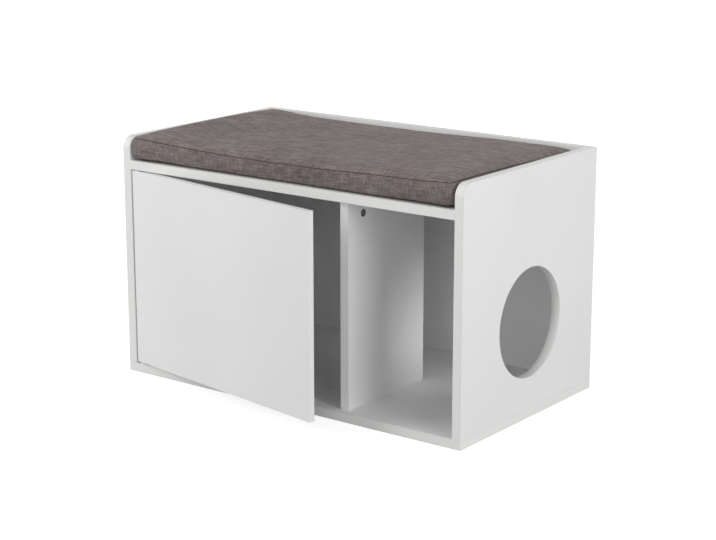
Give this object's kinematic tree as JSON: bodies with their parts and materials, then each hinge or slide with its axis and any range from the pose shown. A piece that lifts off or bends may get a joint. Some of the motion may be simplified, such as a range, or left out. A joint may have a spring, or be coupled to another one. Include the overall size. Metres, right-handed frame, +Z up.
{
  "type": "cat litter box cabinet",
  "caption": "Low white storage bench for a litter tray, with a hinged door, an open side bay, a partition, a round side entry hole and a loose seat cushion.",
  "frame": {"origin": "centre of the base panel's underside, where the cabinet stands on the floor", "axes": "+X to the right as seen from the front, +Y to the back, +Z up"},
  "size_m": [0.8, 0.543, 0.481],
  "materials": {
    "white_board": "white melamine, satin",
    "zinc_alloy": "die-cast, dull",
    "zinc_plated_steel": "zinc plated",
    "beech": "bare",
    "white_nylon": "moulded, satin",
    "ferrite": "sintered, matt",
    "taupe_fabric": "slub weave"
  },
  "bodies": {
    "cabinet": {"base_panel": "white_board", "left_side_panel": "white_board", "right_side_panel": "white_board", "back_panel": "white_board", "seat_panel": "white_board", "partition_panel": "white_board", "seat_cam_locks": "zinc_alloy", "back_cam_locks": "zinc_alloy", "partition_cam_locks": "zinc_alloy", "cam_bolts": "zinc_plated_steel", "wooden_dowels": "beech", "base_screws": "zinc_plated_steel", "upper_pivot_bush": "white_nylon", "lower_pivot_bush": "white_nylon", "catch_housing": "white_nylon", "catch_magnet": "ferrite", "catch_pole_plates": "zinc_plated_steel", "catch_screws": "zinc_plated_steel"},
    "door": {"door_panel": "white_board", "upper_pivot_pin": "zinc_plated_steel", "lower_pivot_pin": "zinc_plated_steel", "strike_plate": "zinc_plated_steel", "strike_screws": "zinc_plated_steel"},
    "cushion": {"seat_cushion": "taupe_fabric"}
  },
  "joints": [
    {"name": "door_hinge", "type": "hinge", "parent": "cabinet", "child": "door", "pos_m": [-0.3675, -0.2215, 0.216], "axis": [0, 0, -1], "range_deg": [-10, 120]},
    {"name": "cushion_lift", "type": "slide", "parent": "cabinet", "child": "cushion", "axis": [0, 0, 1], "range_m": [0, 0.1]}
  ]
}
